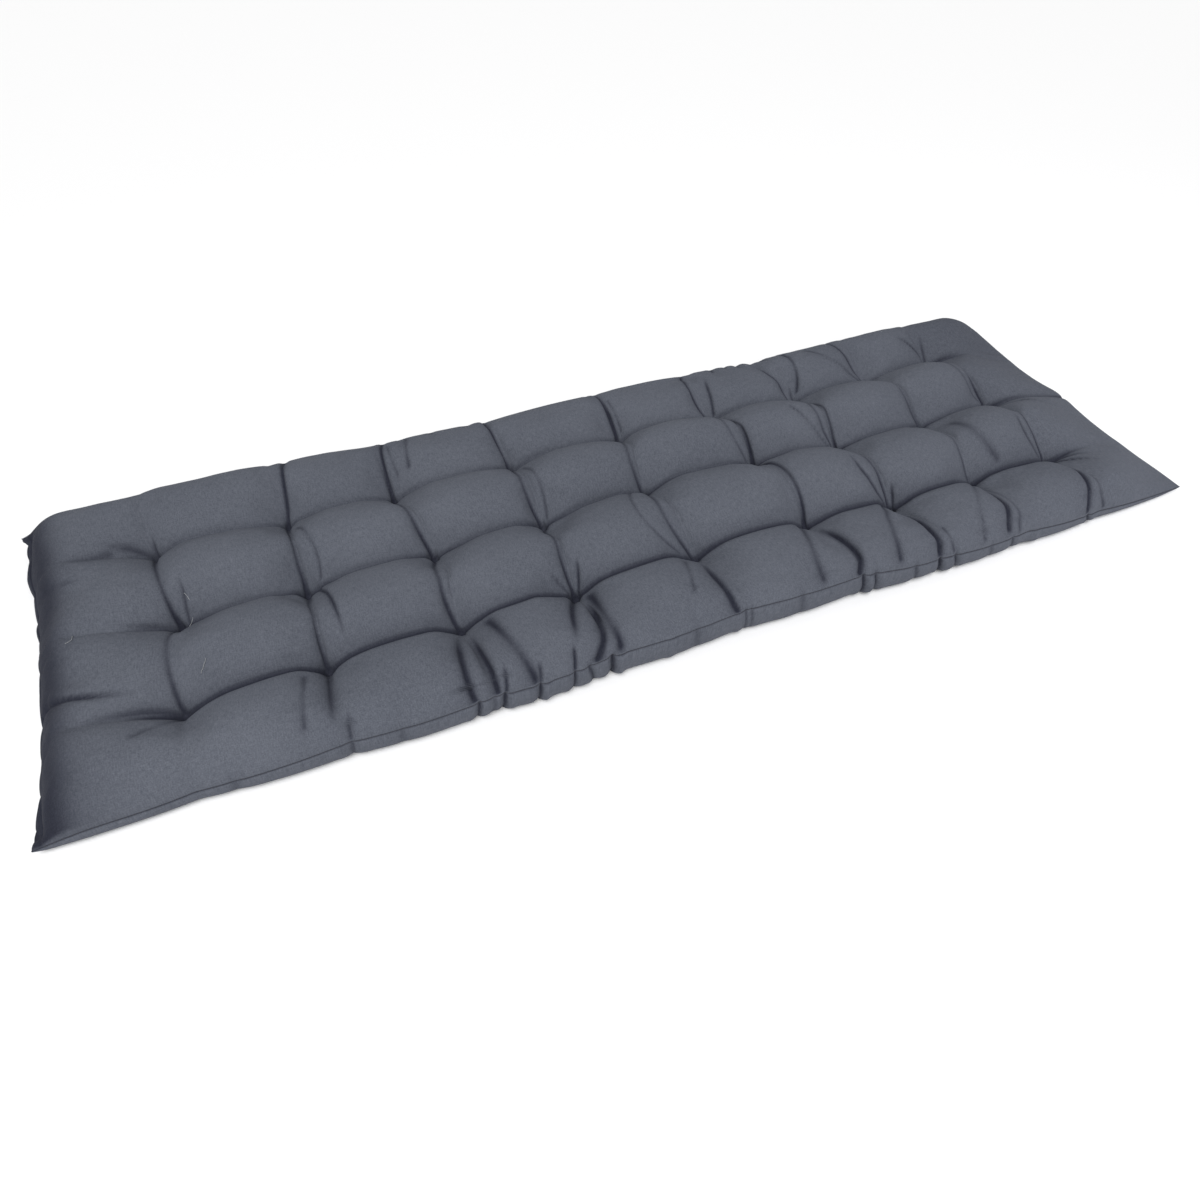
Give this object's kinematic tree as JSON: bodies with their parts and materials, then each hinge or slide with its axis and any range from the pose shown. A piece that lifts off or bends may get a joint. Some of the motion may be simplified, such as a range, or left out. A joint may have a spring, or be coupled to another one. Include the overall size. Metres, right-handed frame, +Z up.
{
  "type": "bench cushion",
  "caption": "Long filled seat cushion in plain slate-grey cloth, stitched through in rows into soft pillows, with drawn-in sides and knife-edge ends.",
  "frame": {"origin": "centre of the cushion's outline, on the surface that it lies on", "axes": "+X along the cushion, +Y across it from the front long side to the back long side, +Z up out of its face"},
  "size_m": [1.5232, 0.479, 0.0764],
  "materials": {
    "cloth": "matt slate-grey outdoor cloth with a fine close weave"
  },
  "bodies": {
    "root": {"cushion": "cloth"}
  },
  "joints": []
}
